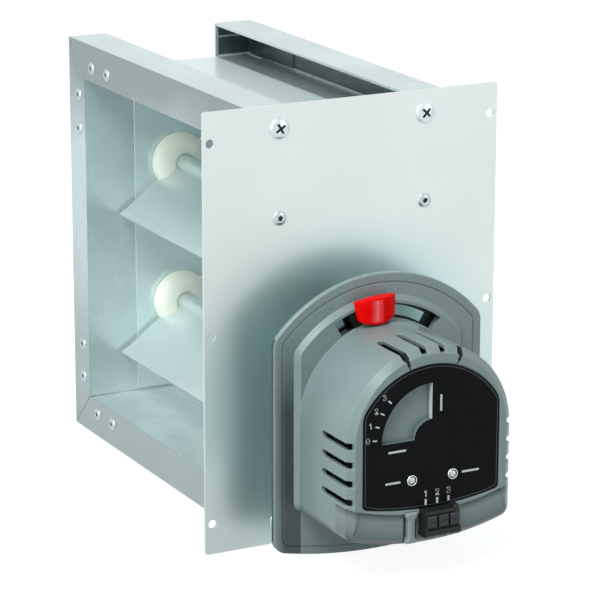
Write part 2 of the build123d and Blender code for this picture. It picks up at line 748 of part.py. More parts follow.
with BuildPart() as hub_screw:
    with BuildSketch(Plane(origin=(shaft_r, base_front - 6, axis_low), x_dir=(0, 1, 0), z_dir=(1, 0, 0))):
        Circle(2.0)
    extrude(amount=hub_r - shaft_r + 1.5)
    with BuildSketch(Plane(origin=(hub_r + 1.5, base_front - 6, axis_low), x_dir=(0, 1, 0),
                           z_dir=(1, 0, 0))):
        RegularPolygon(1.0, 6)
    extrude(amount=-2, mode=Mode.SUBTRACT)
hub_screw.part.label = "hub_screw"
export_step(hub_screw.part, "parts/hub_screw.step")


def gear_outline(teeth, turn):
    """Spur gear outline with straight-flanked teeth."""
    pitch_r = gear_module * teeth / 2
    root = pitch_r - 1.25 * gear_module
    tip = pitch_r + 0.8 * gear_module
    step = 360 / teeth
    pts = []
    for n in range(teeth):
        for r, f in ((root, -0.34), (tip, -0.1), (tip, 0.1), (root, 0.34)):
            t = math.radians(turn + (n + f) * step)
            pts.append((r * math.cos(t), r * math.sin(t)))
    with BuildLine() as outline:
        Polyline(*pts, close=True)
    make_face(outline.edges())


with BuildPart() as drive_gear:
    with BuildSketch(at_axis(axis_low, gear_y)):
        gear_outline(gear_teeth, -90.0)
        Circle(hub_r, mode=Mode.SUBTRACT)
    extrude(amount=gear_w)
drive_gear.part.label = "drive_gear"
export_step(drive_gear.part, "parts/drive_gear.step")

with BuildPart() as motor_pinion:
    with BuildSketch(at_axis(pinion_z, gear_y)):
        gear_outline(pinion_teeth, 90.0 + 180.0 / pinion_teeth)
    extrude(amount=gear_w)
    with BuildSketch(at_axis(pinion_z, gear_y + 1.0)):
        Circle(2.0)
    extrude(amount=gear_w + 1.0 + 1.5 + gear_plate_t + 2.5)
motor_pinion.part.label = "motor_pinion"
export_step(motor_pinion.part, "parts/motor_pinion.step")

with BuildPart() as gear_plate:
    with BuildSketch(front(gear_plate_y)):
        with Locations((0, -61)):
            Rectangle(84, 66)
        with Locations((0, axis_low)):
            Circle(7.0, mode=Mode.SUBTRACT)
        with Locations((0, pinion_z)):
            Circle(2.0 + run_fit, mode=Mode.SUBTRACT)
    extrude(amount=gear_plate_t)
    with BuildSketch(front(base_front)):
        with Locations((-38, -38), (38, -38), (-38, -90), (38, -90)):
            Rectangle(6.0, 6.0)
    extrude(amount=base_front - gear_plate_y)
gear_plate.part.label = "gear_plate"
export_step(gear_plate.part, "parts/gear_plate.step")

motor_back = gear_plate_y - gear_plate_t
with BuildPart() as motor:
    with BuildSketch(at_axis(pinion_z, motor_back)):
        Circle(16)
        with Locations((-20, 0), (20, 0)):
            Circle(4)
        Rectangle(40, 8)
    extrude(amount=1.6)
    with BuildSketch(at_axis(pinion_z, motor_back)):
        Circle(16)
    extrude(amount=17)
    chamfer(motor.edges().group_by(Axis.Y)[0], length=1.5)
    with BuildSketch(at_axis(pinion_z, motor_back + 1)):
        Circle(2.4)
    extrude(amount=5, mode=Mode.SUBTRACT)
motor.part.label = "motor"
export_step(motor.part, "parts/motor.step")

board_y = face_y + face_t + 8.0
with BuildPart() as circuit_board:
    with BuildSketch(front(board_y + 1.6)):
        with Locations((0, -78)):
            Rectangle(84, 36)
    extrude(amount=1.6)
    with BuildSketch(front(board_y)):
        with Locations((-22, -86), (24, -86)):
            Rectangle(12, 9)
    extrude(amount=5)
circuit_board.part.label = "circuit_board"
export_step(circuit_board.part, "parts/circuit_board.step")

with BuildPart() as indicator:
    with BuildSketch(front(indicator_y + 1.2)):
        ring_sector(6.0, 31.5, -54.0, 129.0)
        with Locations((0, axis_low)):
            Circle(8.5)
    extrude(amount=1.2)
    with BuildSketch(at_axis(axis_low, indicator_y)):
        with PolarLocations(20.5, 1, start_angle=90 + blade_rest):
            Rectangle(17, 1.2)
    extrude(amount=0.4)
indicator.part.label = "indicator"
export_step(indicator.part, "parts/indicator.step")

# ---------------------------------------------------------------- manual release lever
tab_back = boss_front - 0.7
tab_t = 8.0
slider_clear = 0.7
with BuildPart() as release_arm:
    with BuildSketch(at_axis(axis_low, base_back + gap + 2.0)):
        Circle(lever_ring_in + 4)
    extrude(amount=2.0)
    with BuildSketch(front(base_back + gap + 2.0)):
        ring_sector(lever_ring_in + 2, slot_r_in - 1.0, 0.0, 10.0)
    extrude(amount=2.0)
    # sliding band behind the slot, with two see-through windows
    with BuildSketch(front(base_back + gap + 2.0)):
        ring_sector(slot_r_in - 2.5, slot_r_out + 2.5, band_from, band_to)
    extrude(amount=2.0)
    for a_from, a_to in ((-32.0, -9.0), (21.5, 27.0)):
        with BuildSketch(front(base_back)):
            ring_sector(slot_r_in + 1.0, slot_r_out - 2.0, a_from, a_to)
        extrude(amount=-4.0, mode=Mode.SUBTRACT)
    # block that comes through the slot and carries the tab
    with BuildSketch(front(base_back + gap)):
        ring_sector(slot_r_in + slider_clear, slot_r_out - slider_clear, slider_from, slider_to)
    extrude(amount=base_back + gap - tab_back)
    with BuildSketch(at_axis(axis_low, base_back + 4)):
        Circle(lever_ring_in)
    extrude(amount=6, mode=Mode.SUBTRACT)
release_arm.part.label = "release_arm"
export_step(release_arm.part, "parts/release_arm.step")

with BuildPart() as release_tab:
    tab_low_r = body_half + 1.2
    tilt = math.radians(90 + tab_angle)
    tab_plane = Plane(origin=(0, tab_back, axis_low), x_dir=(math.sin(tilt), 0, -math.cos(tilt)),
                      z_dir=(0, -1, 0))
    with BuildSketch(tab_plane) as shield:
        with BuildLine() as outline:
            ThreePointArc((-tab_top_half, tab_top_r - 0.9), (0, tab_top_r), (tab_top_half, tab_top_r - 0.9))
            Line((tab_top_half, tab_top_r - 0.9), (tab_low_half, tab_low_r))
            Line((tab_low_half, tab_low_r), (-tab_low_half, tab_low_r))
            Line((-tab_low_half, tab_low_r), (-tab_top_half, tab_top_r - 0.9))
        make_face(outline.edges())
        fillet(vertices().group_by(Axis.Y)[0], radius=5.0)
    extrude(shield.sketch, amount=tab_t)
    # grip: the front swells across its width
    across = Plane(origin=tab_plane.origin, x_dir=tab_plane.x_dir, z_dir=-tab_plane.y_dir)
    with BuildSketch(across) as swell:
        with BuildLine() as profile:
            ThreePointArc((-15, tab_t - 3.2), (0, tab_t), (15, tab_t - 3.2))
            Line((15, tab_t - 3.2), (15, -1))
            Line((15, -1), (-15, -1))
            Line((-15, -1), (-15, tab_t - 3.2))
        make_face(profile.edges())
    extrude(swell.sketch, amount=-80, mode=Mode.INTERSECT)
release_tab.part.label = "release_tab"
export_step(release_tab.part, "parts/release_tab.step")
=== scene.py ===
"""Looks for a volume control damper: a channel frame with two blades, a mounting plate and an arched operator."""
import math

import bmesh
import bpy
from mathutils import Matrix, Vector


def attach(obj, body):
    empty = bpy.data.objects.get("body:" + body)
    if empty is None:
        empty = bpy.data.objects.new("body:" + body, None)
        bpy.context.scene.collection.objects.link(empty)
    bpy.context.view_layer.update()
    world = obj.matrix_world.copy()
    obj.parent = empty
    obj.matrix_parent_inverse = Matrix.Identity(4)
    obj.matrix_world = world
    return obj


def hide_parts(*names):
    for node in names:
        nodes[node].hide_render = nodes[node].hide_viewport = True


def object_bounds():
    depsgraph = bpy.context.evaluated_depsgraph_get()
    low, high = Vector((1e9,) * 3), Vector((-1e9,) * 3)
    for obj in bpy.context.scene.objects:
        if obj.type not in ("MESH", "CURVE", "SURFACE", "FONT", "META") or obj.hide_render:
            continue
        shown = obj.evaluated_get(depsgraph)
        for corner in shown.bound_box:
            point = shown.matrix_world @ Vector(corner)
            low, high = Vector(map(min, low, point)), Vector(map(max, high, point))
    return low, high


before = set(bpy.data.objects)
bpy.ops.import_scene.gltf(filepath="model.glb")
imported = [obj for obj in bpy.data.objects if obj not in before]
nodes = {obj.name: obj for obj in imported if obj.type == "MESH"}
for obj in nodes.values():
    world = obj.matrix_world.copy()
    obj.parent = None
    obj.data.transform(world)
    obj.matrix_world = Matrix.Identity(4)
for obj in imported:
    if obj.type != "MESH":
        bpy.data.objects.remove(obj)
cad_box = [list(corner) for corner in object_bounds()]
scene = bpy.context.scene

# Mesh code below works in mm, materials in metres.
MM = 0.001
AXIS_Z = -45.5                         # height of the lower blade shaft, the operator's centre
UPPER_Z = 45.5                         # height of the upper blade shaft
FACE_Y = -94.0                         # operator's face
PLATE_Y = -1.5                         # mounting plate's front


# ------------------------------------------------------------------ material helpers
class Nodes:
    """Small helper that builds one node material."""

    def __init__(self, name):
        self.mat = bpy.data.materials.new(name)
        self.mat.use_nodes = True
        self.tree = self.mat.node_tree
        self.tree.nodes.clear()
        self.out = self.node("ShaderNodeOutputMaterial")
        self.shader = self.node("ShaderNodeBsdfPrincipled")
        self.link(self.shader.outputs["BSDF"], self.out.inputs["Surface"])

    def link(self, a, b):
        self.tree.links.new(a, b)

    def node(self, kind, **props):
        n = self.tree.nodes.new(kind)
        for key, value in props.items():
            setattr(n, key, value)
        return n

    def set(self, **values):
        """Sets sockets of the shader, named with _ for each space."""
        for key, value in values.items():
            self.shader.inputs[key.replace("_", " ")].default_value = value
        return self

    def coords(self, scale=(1, 1, 1)):
        """Object coordinates in metres, stretched by scale."""
        mapping = self.node("ShaderNodeMapping")
        mapping.inputs["Scale"].default_value = scale
        self.link(self.node("ShaderNodeTexCoord").outputs["Object"], mapping.inputs["Vector"])
        return mapping.outputs["Vector"]

    def position(self):
        """The x, y and z sockets of the object coordinates."""
        n = self.node("ShaderNodeSeparateXYZ")
        self.link(self.node("ShaderNodeTexCoord").outputs["Object"], n.inputs[0])
        return n.outputs

    def facing(self, axis):
        """Size of one component of the surface normal."""
        n = self.node("ShaderNodeSeparateXYZ")
        self.link(self.node("ShaderNodeNewGeometry").outputs["Normal"], n.inputs[0])
        return self.size(n.outputs[axis])

    def radius(self, height):
        """Distance from the axis along Y at that height."""
        x, _, z = self.position()
        lifted = self.node("ShaderNodeMath", operation="SUBTRACT")
        self.link(z, lifted.inputs[0])
        lifted.inputs[1].default_value = height
        flat = self.node("ShaderNodeCombineXYZ")
        self.link(x, flat.inputs[0])
        self.link(lifted.outputs[0], flat.inputs[2])
        length = self.node("ShaderNodeVectorMath", operation="LENGTH")
        self.link(flat.outputs["Vector"], length.inputs[0])
        return length.outputs["Value"]

    def noise(self, vector, scale, detail=3.0, rough=0.55):
        n = self.node("ShaderNodeTexNoise")
        n.inputs["Scale"].default_value = scale
        n.inputs["Detail"].default_value = detail
        n.inputs["Roughness"].default_value = rough
        self.link(vector, n.inputs["Vector"])
        return n.outputs["Fac"]

    def ramp(self, value, stops):
        n = self.node("ShaderNodeValToRGB")
        ramp = n.color_ramp
        while len(ramp.elements) < len(stops):
            ramp.elements.new(0.5)
        for element, (place, colour) in zip(ramp.elements, stops):
            element.position = place
            element.color = (*colour, 1)
        self.link(value, n.inputs["Fac"])
        return n.outputs["Color"]

    def levels(self, value, stops):
        """A ramp of greys."""
        return self.ramp(value, [(place, (level,) * 3) for place, level in stops])

    def cloud(self, scale, detail, low, high):
        """Soft blotches between two colours."""
        return self.ramp(self.noise(self.coords(), scale, detail), [(0.3, low), (0.7, high)])

    def fade(self, value, start, end, low=0.0, high=1.0, kind="LINEAR"):
        """low where value is at start, high where it is at end, and in between from one to the other."""
        n = self.node("ShaderNodeMapRange", interpolation_type=kind)
        n.inputs["From Min"].default_value = start
        n.inputs["From Max"].default_value = end
        n.inputs["To Min"].default_value = low
        n.inputs["To Max"].default_value = high
        self.link(value, n.inputs["Value"])
        return n.outputs["Result"]

    def spread(self, value, low, high):
        """Maps a 0..1 value to low..high."""
        return self.fade(value, 0.0, 1.0, low, high)

    def mix(self, factor, a, b):
        """Colour a where factor is 0, b where it is 1; each is a socket or a colour."""
        n = self.node("ShaderNodeMix", data_type="RGBA")
        self.link(factor, n.inputs[0])
        for socket, value in ((n.inputs[6], a), (n.inputs[7], b)):
            if isinstance(value, tuple):
                socket.default_value = (*value, 1)
            else:
                self.link(value, socket)
        return n.outputs[2]

    def math(self, operation, a, b):
        """A sum, product or comparison, held to 0..1; a and b are sockets or numbers."""
        n = self.node("ShaderNodeMath", operation=operation, use_clamp=True)
        for socket, value in ((n.inputs[0], a), (n.inputs[1], b)):
            if isinstance(value, (int, float)):
                socket.default_value = value
            else:
                self.link(value, socket)
        return n.outputs[0]

    def size(self, value):
        return self.math("ABSOLUTE", value, 0.0)

    def above(self, value, limit):
        return self.math("GREATER_THAN", value, limit)

    def below(self, value, limit):
        return self.math("LESS_THAN", value, limit)

    def between(self, value, low, high):
        return self.all(self.above(value, low), self.below(value, high))

    def all(self, first, *others):
        """Product of masks."""
        for mask in others:
            first = self.math("MULTIPLY", first, mask)
        return first

    def colour(self, socket):
        self.link(socket, self.shader.inputs["Base Color"])

    def rough(self, socket):
        self.link(socket, self.shader.inputs["Roughness"])

    def bump(self, height, strength, distance, edge=0.0):
        """Fine relief; edge rounds the sharp corners by that radius."""
        n = self.node("ShaderNodeBump")
        n.inputs["Strength"].default_value = strength
        n.inputs["Distance"].default_value = distance
        self.link(height, n.inputs["Height"])
        if edge:
            self.link(self.rounded(edge), n.inputs["Normal"])
        self.link(n.outputs["Normal"], self.shader.inputs["Normal"])

    def rounded(self, radius):
        n = self.node("ShaderNodeBevel", samples=6)
        n.inputs["Radius"].default_value = radius
        return n.outputs["Normal"]

    def edge_mask(self, radius):
        """1 on sharp edges, 0 on flat faces."""
        flat = self.node("ShaderNodeNewGeometry")
        dot = self.node("ShaderNodeVectorMath", operation="DOT_PRODUCT")
        self.link(self.rounded(radius), dot.inputs[0])
        self.link(flat.outputs["Normal"], dot.inputs[1])
        return self.fade(dot.outputs["Value"], 0.90, 0.995, 1.0, 0.0)


def grey(value, tint=(1.0, 1.0, 1.0)):
    return tuple(value * t for t in tint)


# ------------------------------------------------------------------ materials of the frame and plate
COOL = (0.935, 1.0, 0.98)                # plate
BLUE = (0.86, 1.0, 1.01)                 # frame and blades
TEAL = (0.79, 1.0, 1.0)                  # operator plastics

SPANGLE = 140                            # zinc crystals per metre
FLAT = 0.7                               # a face looks along an axis where its normal has this much of it

# Where the frame's surfaces lie. X and z are taken without their sign.
OUTER_FLANGE_X = 0.0632
INNER_FLANGE_X = (0.0540, 0.0631)
INNER_FLANGE_Z = (0.1062, 0.1246)
BEAD_Z = (0.1172, 0.1184)
LIP_INSIDE_Y = (0.2500, 0.2536)
LIP_INSIDE_X = 0.0400
WEB_Z = (0.1046, 0.1053)
WEB_X = 0.0618
STRIP_Z = (0.1046, 0.1056)
STRIP_X = (0.0370, 0.0400)

# The outer flanges from foot to top: how much painted shade they take, most at foot and top.
OUTER_FLANGE_SHADE_LEVELS = [(0.0, 0.75), (0.16, 0.62), (0.5, 0.04), (0.76, 0.10), (0.96, 0.85)]
# Painted shade for the outer flanges.
OUTER_FLANGE_PAINTED_SHADE = grey(0.28, (0.84, 1.0, 1.0))
# Painted light for the webs.
WEB_PAINTED_LIGHT = grey(0.97, (0.92, 1.0, 1.0))
# Painted shade for the inner flanges and the strip of web beside them.
FLANGE_SHADE = grey(0.042, (0.66, 1.0, 1.03))


def inner_flange(m):
    """Mask of painted shade: inner sides of the top flanges and of the far lip, with a bead along them left out, and a
    strip of the web beside them.
    """
    x, y, z = m.position()
    across = m.size(x)
    side = m.all(m.between(across, *INNER_FLANGE_X), m.above(m.facing(0), FLAT))
    end = m.all(m.between(y, *LIP_INSIDE_Y), m.above(m.facing(1), FLAT), m.above(across, LIP_INSIDE_X))
    no_bead = m.math("SUBTRACT", 1.0, m.between(z, *BEAD_Z))
    flange = m.all(m.math("MAXIMUM", side, end), m.between(z, *INNER_FLANGE_Z), no_bead)
    strip = m.all(m.fade(across, *STRIP_X), m.between(z, *STRIP_Z), m.above(m.facing(2), FLAT), 0.85)
    streaks = m.spread(m.noise(m.coords((1.0, 0.03, 1.0)), 700, 3), 0.7, 1.0)
    return m.all(m.math("MAXIMUM", flange, strip), streaks)


def frame_tone(m, base, metallic):
    """Folded frame: painted shade on the outer flanges at top and foot, painted light on the webs and painted shade on
    the inner flanges.
    """
    x, _, z = m.position()
    across = m.size(x)
    # Painted shade on the outer flanges: darker towards foot and top, with a noisy edge.
    level = m.math("ADD", m.fade(z, -0.125, 0.125, -0.17, 0.83), m.all(m.noise(m.coords(), 9, 4), 0.35))
    outer_flange_shade = m.all(m.levels(level, OUTER_FLANGE_SHADE_LEVELS), m.above(across, OUTER_FLANGE_X))
    base = m.mix(outer_flange_shade, base, OUTER_FLANGE_PAINTED_SHADE)
    # Painted light on the webs, which also lose most of their metal look.
    web = m.all(m.between(m.size(z), *WEB_Z), m.below(across, WEB_X))
    base = m.mix(m.all(web, 0.8), base, WEB_PAINTED_LIGHT)
    m.link(m.math("SUBTRACT", metallic, m.all(web, 0.75 * metallic)), m.shader.inputs["Metallic"])
    # painted shade on the inner flanges and beside them
    return m.mix(inner_flange(m), base, FLANGE_SHADE)


def galvanised(name, low, high, metallic=0.7, painted_frame_light=False):
    """Zinc coating with a soft spangle; the last flag adds the frame's painted shade and painted light."""
    m = Nodes(name).set(Metallic=metallic)
    where = m.coords()
    base = m.cloud(11, 3, grey(low, BLUE), grey(high, BLUE))
    cells = m.node("ShaderNodeTexVoronoi")
    cells.inputs["Scale"].default_value = SPANGLE
    m.link(where, cells.inputs["Vector"])
    crystal = m.node("ShaderNodeSeparateColor")
    m.link(cells.outputs["Color"], crystal.inputs[0])
    base = m.mix(m.spread(crystal.outputs[0], 0.0, 0.10), base, grey(low * 0.72, (0.88, 0.97, 1.04)))
    # painted shade and painted light of the folded frame
    if painted_frame_light:
        base = frame_tone(m, base, metallic)
    m.colour(base)
    m.rough(m.spread(m.noise(where, 25, 2), 0.24, 0.30))
    m.bump(m.noise(where, 1500, 2), 0.01, 0.0001, 0.0003)
    return m.mat


def plate_tone(m, base):
    """Mounting plate: painted shade towards its low left corner, and a sea-green painted shadow beside the operator."""
    x, _, z = m.position()
    # painted shade towards the low left corner
    corner = m.all(m.fade(z, 0.02, -0.13), m.fade(x, 0.03, -0.07), 0.5)
    base = m.mix(corner, base, grey(0.34, (0.78, 1.0, 1.02)))
    # painted shadow of the operator, sea-green
    near = m.fade(m.radius(AXIS_Z * MM), 0.115, 0.066, kind="SMOOTHSTEP")
    return m.mix(near, base, grey(0.7905, (0.73, 1.0, 0.995)))


def brushed(name, low, high, stretch, metallic=0.85, rough=(0.24, 0.36), relief=0.03, tint=COOL, tone=None):
    """Metal brushed along one direction; stretch is small along the grain."""
    m = Nodes(name).set(Metallic=metallic)
    grain = m.noise(m.coords(stretch), 2600, 4, 0.6)
    cloud = m.cloud(9, 2, grey(low, tint), grey(high, tint))
    base = m.mix(m.spread(grain, 0.0, 0.12), cloud, grey(low * 0.85, tint))
    if tone:
        base = tone(m, base)
    m.colour(base)
    m.rough(m.spread(grain, *rough))
    m.bump(grain, relief, 0.0001, 0.0003)
    return m.mat


# ------------------------------------------------------------------ materials of the operator
# Painted shade for the walls of the release slot.
SLOT_PAINTED_SHADE = (0.004, 0.005, 0.005)
SLOT_TOP_Z = -0.0145                     # the release slot lies above this
SLOT_BACK_Y = -0.0400                    # and in front of this
SLOT_WALLS = ((0.0530, 0.0536), (0.0620, 0.0626))
# The base's outer sides beyond this get painted shade.
BASE_SIDE_X = 0.0655
# Painted shade on the flat strip of the base at the left of the foot, fading in across these x.
FOOT_SHADE_X = (-0.0660, -0.0600)        # the flat strip of the base at the left of the foot
FOOT_LEFT_X = -0.050
# The window's walls, within this radius and in front of the next depth, get painted shade.
WINDOW_R = 0.0322
WINDOW_FRONT_Y = -0.0885
PANEL_SWEEP_Z = 0.063                    # centre of the lower panel's curve
PANEL_SWEEP_R = (0.1512, 0.1692)
PANEL_Y = -0.0790
PANEL_Z = -0.0800
# The lower panel from its rim to its foot: how much painted shade it takes, most just under the rim and towards the
# foot.
PANEL_SHADE = [(0.0, 0.0), (0.03, 0.0), (0.06, 0.85), (0.30, 0.10), (0.55, 0.22), (1.0, 0.7)]
# Painted shade for the lower panel.
PANEL_PAINTED_SHADE = (0.035, 0.048, 0.050)


def slot_walls(m):
    """Walls of the release slot, which are dark with painted shade."""
    _, y, z = m.position()
    r = m.radius(AXIS_Z * MM)
    inner, outer = (m.between(r, *ring) for ring in SLOT_WALLS)
    return m.all(m.math("ADD", inner, outer), m.below(m.facing(1), 0.3), m.above(z, SLOT_TOP_Z),
                 m.above(y, SLOT_BACK_Y))


def base_tone(m, base):
    """Operator base: painted shade on the slot walls, on a strip at the left of the foot and on the outer sides."""
    # painted shade on the slot walls
    base = m.mix(slot_walls(m), base, SLOT_PAINTED_SHADE)
    x, _, z = m.position()
    # painted shade at the left of the foot, between the foot and the plate
    strip = m.all(m.fade(x, *FOOT_SHADE_X), m.fade(z, 0.010, -0.040), m.below(x, FOOT_LEFT_X), 0.9)
    base = m.mix(strip, base, (0.034, 0.049, 0.052))
    # painted shade on the outer sides
    sides = m.all(m.above(m.facing(0), 0.8), m.above(m.size(x), BASE_SIDE_X))
    return m.mix(sides, base, (0.030, 0.044, 0.047))


def housing_tone(m, base):
    """Housing: painted shade on the slot walls, on the window walls, and under the rim of the lower panel."""
    # painted shade on the slot walls
    base = m.mix(slot_walls(m), base, SLOT_PAINTED_SHADE)
    _, y, z = m.position()
    # painted shade on the window walls
    walls = m.all(m.below(m.radius(AXIS_Z * MM), WINDOW_R), m.below(y, WINDOW_FRONT_Y))
    base = m.mix(walls, base, (0.15, 0.20, 0.20))
    # painted shade on the lower panel, darkest under its rim
    shade = m.levels(m.fade(m.radius(PANEL_SWEEP_Z), *PANEL_SWEEP_R), PANEL_SHADE)
    return m.mix(m.all(shade, m.below(y, PANEL_Y), m.below(z, PANEL_Z)), base, PANEL_PAINTED_SHADE)


def plastic(name, low, high, rough, grain=0.06, tint=(1, 1, 1), spec=0.5, edge=0.0, edge_highlight=1.0, tone=None):
    """Moulded plastic with a fine spark-eroded grain; edge rounds its corners, and the factor after it lightens them as
    painted highlights.
    """
    m = Nodes(name).set(Metallic=0.0, Specular_IOR_Level=spec)
    where = m.coords()
    base = m.cloud(30, 3, grey(low, tint), grey(high, tint))
    if edge:
        # painted highlights along the rounded edges
        edge_highlight_mask = m.all(m.edge_mask(edge), m.spread(m.noise(where, 400, 3), 0.5, 1.0))
        base = m.mix(edge_highlight_mask, base, grey(high * edge_highlight, tint))
    if tone:
        base = tone(m, base)
    m.colour(base)
    m.rough(m.spread(m.noise(where, 240, 3), rough - 0.05, rough + 0.05))
    m.bump(m.noise(where, 1400, 3), grain, 0.0003, edge)
    return m.mat


def red_gloss():
    """Red of the release tab, with a pale painted highlight down the crest of its rib."""
    m = Nodes("red_gloss").set(Metallic=0.0, Roughness=0.2, Specular_IOR_Level=0.04)
    base = m.cloud(120, 3, (0.88, 0.002, 0.001), (0.95, 0.004, 0.003))
    x, _, z = m.position()
    # painted highlight down the crest of the rib
    across = m.levels(m.fade(x, -0.0112, -0.0032), [(0.0, 0.0), (0.35, 0.4), (0.5, 1.0), (0.65, 0.4), (1.0, 0.0)])
    crest_highlight = m.all(across, m.between(z, 0.0090, 0.0215), 0.75)
    m.colour(m.mix(crest_highlight, base, (1.0, 0.26, 0.29)))
    m.bump(m.noise(m.coords(), 900, 2), 0.03, 0.0002, 0.0004)
    return m.mat


def nylon():
    m = Nodes("nylon").set(Metallic=0.0, Subsurface_Weight=0.15, Subsurface_Scale=0.004)
    m.colour(m.cloud(60, 3, (0.95, 0.97, 0.82), (0.98, 0.99, 0.86)))
    m.rough(m.spread(m.noise(m.coords(), 300, 3), 0.4, 0.5))
    m.bump(m.noise(m.coords(), 800, 2), 0.04, 0.0003)
    return m.mat


ALONG_Y = (1.0, 0.01, 1.0)
ALONG_Z = (1.0, 1.0, 0.01)
NO_GRAIN = (1.0, 1.0, 1.0)
DARK = (0.9, 1.0, 1.0)                   # black plastics

MATS = {
    "galvanised": galvanised("galvanised", 0.62, 0.78, 0.5, painted_frame_light=True),
    "bracket": galvanised("bracket_zinc", 0.40, 0.50, painted_frame_light=True),
    "plate": brushed("brushed_plate", 0.78, 0.85, (1.0, 1.0, 0.004), 0.75, (0.34, 0.40), 0.015, tone=plate_tone),
    "zinc": galvanised("zinc_fixings", 0.55, 0.66, 0.9),
    "zinc_bright": galvanised("zinc_bright", 0.72, 0.84, 0.9),
    "seal": brushed("seal_strip", 0.80, 0.88, ALONG_Z, 0.6, tint=BLUE),
    "blade": brushed("blade_sheet", 0.72, 0.80, ALONG_Y, 0.6, (0.26, 0.36), tint=(0.88, 1.0, 1.0)),
    "shaft": brushed("shaft_steel", 0.78, 0.86, ALONG_Y, 0.8),
    "chrome": brushed("lamp_chrome", 0.75, 0.85, NO_GRAIN, 1.0, (0.12, 0.2)),
    "lamp": brushed("lamp_lens", 0.50, 0.62, NO_GRAIN, 0.9, (0.16, 0.22)),
    "nylon": nylon(),
    "red": red_gloss(),
    "base": plastic("base_plastic", 0.28, 0.305, 0.28, tint=TEAL, edge=0.0006, edge_highlight=1.4, tone=base_tone),
    "housing": plastic("housing_plastic", 0.27, 0.31, 0.30, tint=TEAL, edge=0.0006, edge_highlight=1.7, tone=housing_tone),
    "guide": plastic("guide_plastic", 0.28, 0.32, 0.38, tint=TEAL, edge=0.0005, edge_highlight=1.7),
    "window": plastic("dial_card", 0.27, 0.31, 0.30, tint=TEAL, spec=0.3),
    # Painted light for the window's lit side wall.
    "pale": plastic("window_wall_painted_light", 0.60, 0.68, 0.25, tint=(0.92, 1.0, 1.0)),
    "label": plastic("label_film", 0.0020, 0.0032, 0.30, tint=(0.85, 0.95, 1.3), spec=0.08),
    "ink": plastic("label_ink", 0.62, 0.70, 0.5, grain=0.02),
    "ink_grey": plastic("label_ink_grey", 0.05, 0.07, 0.5, grain=0.02),
    "terminal": plastic("terminal_plastic", 0.012, 0.017, 0.40, tint=DARK, spec=0.3, edge=0.0004, edge_highlight=3.0),
    "button": plastic("lever_plastic", 0.032, 0.042, 0.36, tint=DARK, spec=0.3, edge=0.0004, edge_highlight=2.0),
    "slider": plastic("slider_black", 0.004, 0.007, 0.30, spec=0.2),
    "bush": plastic("bush_plastic", 0.015, 0.022, 0.45),
    # Painted shade for bores and seats.
    "recess": plastic("recess_painted_shade", 0.01, 0.015, 0.5),
    # Painted shade for the screws' cross recesses.
    "recess_green": plastic("cross_recess_painted_shade", 0.03, 0.045, 0.4, tint=(0.6, 1.3, 1.15)),
    "acetal": plastic("gear_acetal", 0.62, 0.68, 0.40, tint=(1.0, 0.98, 0.90)),
    "board": plastic("board_green", 0.03, 0.04, 0.40, tint=(0.5, 1.6, 0.8)),
}

NODE_MATERIAL = {
    "galvanised": ["top_channel", "bottom_channel", "far_jamb", "near_jamb"],
    "bracket": ["corner_brackets"],
    "plate": ["mounting_plate"],
    "zinc": ["frame_rivets", "plate_rivets", "plate_screws", "base_screws", "hub_screw", "standoffs", "gear_plate",
             "lower_crank", "upper_crank", "tie_bar", "motor"],
    "seal": ["far_seal", "near_seal"],
    "bush": ["far_bush_low", "far_bush_up", "near_bush_low", "near_bush_up"],
    "blade": ["lower_blade", "upper_blade"],
    "nylon": ["lower_far_disc", "upper_far_disc", "lower_near_disc", "upper_near_disc"],
    "shaft": ["lower_shaft", "upper_shaft", "coupling_hub"],
    "base": ["operator_base"],
    "housing": ["housing"],
    "label": ["face_plate"],
    "lamp": ["open_lamp", "closed_lamp"],
    "terminal": ["terminal_block"],
    "button": ["wire_button_1", "wire_button_2", "wire_button_3"],
    "guide": ["wire_guide"],
    "acetal": ["drive_gear", "motor_pinion"],
    "board": ["circuit_board"],
    "window": ["indicator"],
    "slider": ["release_arm"],
    "red": ["release_tab"],
}

for key, names in NODE_MATERIAL.items():
    for name in names:
        mesh = nodes[name].data
        mesh.materials.clear()
        mesh.materials.append(MATS[key])


# ------------------------------------------------------------------ mesh helpers
def point(x, y, z):
    return Vector((x, y, z)) * MM


def polar(radius, angle, height=0.0):
    """(x, z) at that radius, counted from +X, round the axis along Y at height."""
    return radius * math.cos(angle), height + radius * math.sin(angle)


def turned(a, b, turn):
    """The pair (a, b) turned about the origin."""
    c, s = math.cos(turn), math.sin(turn)
    return c * a - s * b, s * a + c * b


def make_object(name, bm, materials, angle=None):
    """Object from a finished bmesh; with an angle it is shaded smooth up to it."""
    mesh = bpy.data.meshes.new(name)
    bmesh.ops.recalc_face_normals(bm, faces=bm.faces)
    bm.to_mesh(mesh)
    bm.free()
    for key in materials:
        mesh.materials.append(MATS[key])
    obj = bpy.data.objects.new(name, mesh)
    scene.collection.objects.link(obj)
    if angle:
        for poly in mesh.polygons:
            poly.use_smooth = True
        mesh.set_sharp_from_angle(angle=angle)
    return obj


def stand_in(obj, body, node):
    """obj takes the place of a CAD node on that body."""
    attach(obj, body)
    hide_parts(node)


def add_on(obj):
    """obj is an extra piece on the frame."""
    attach(obj, "frame")


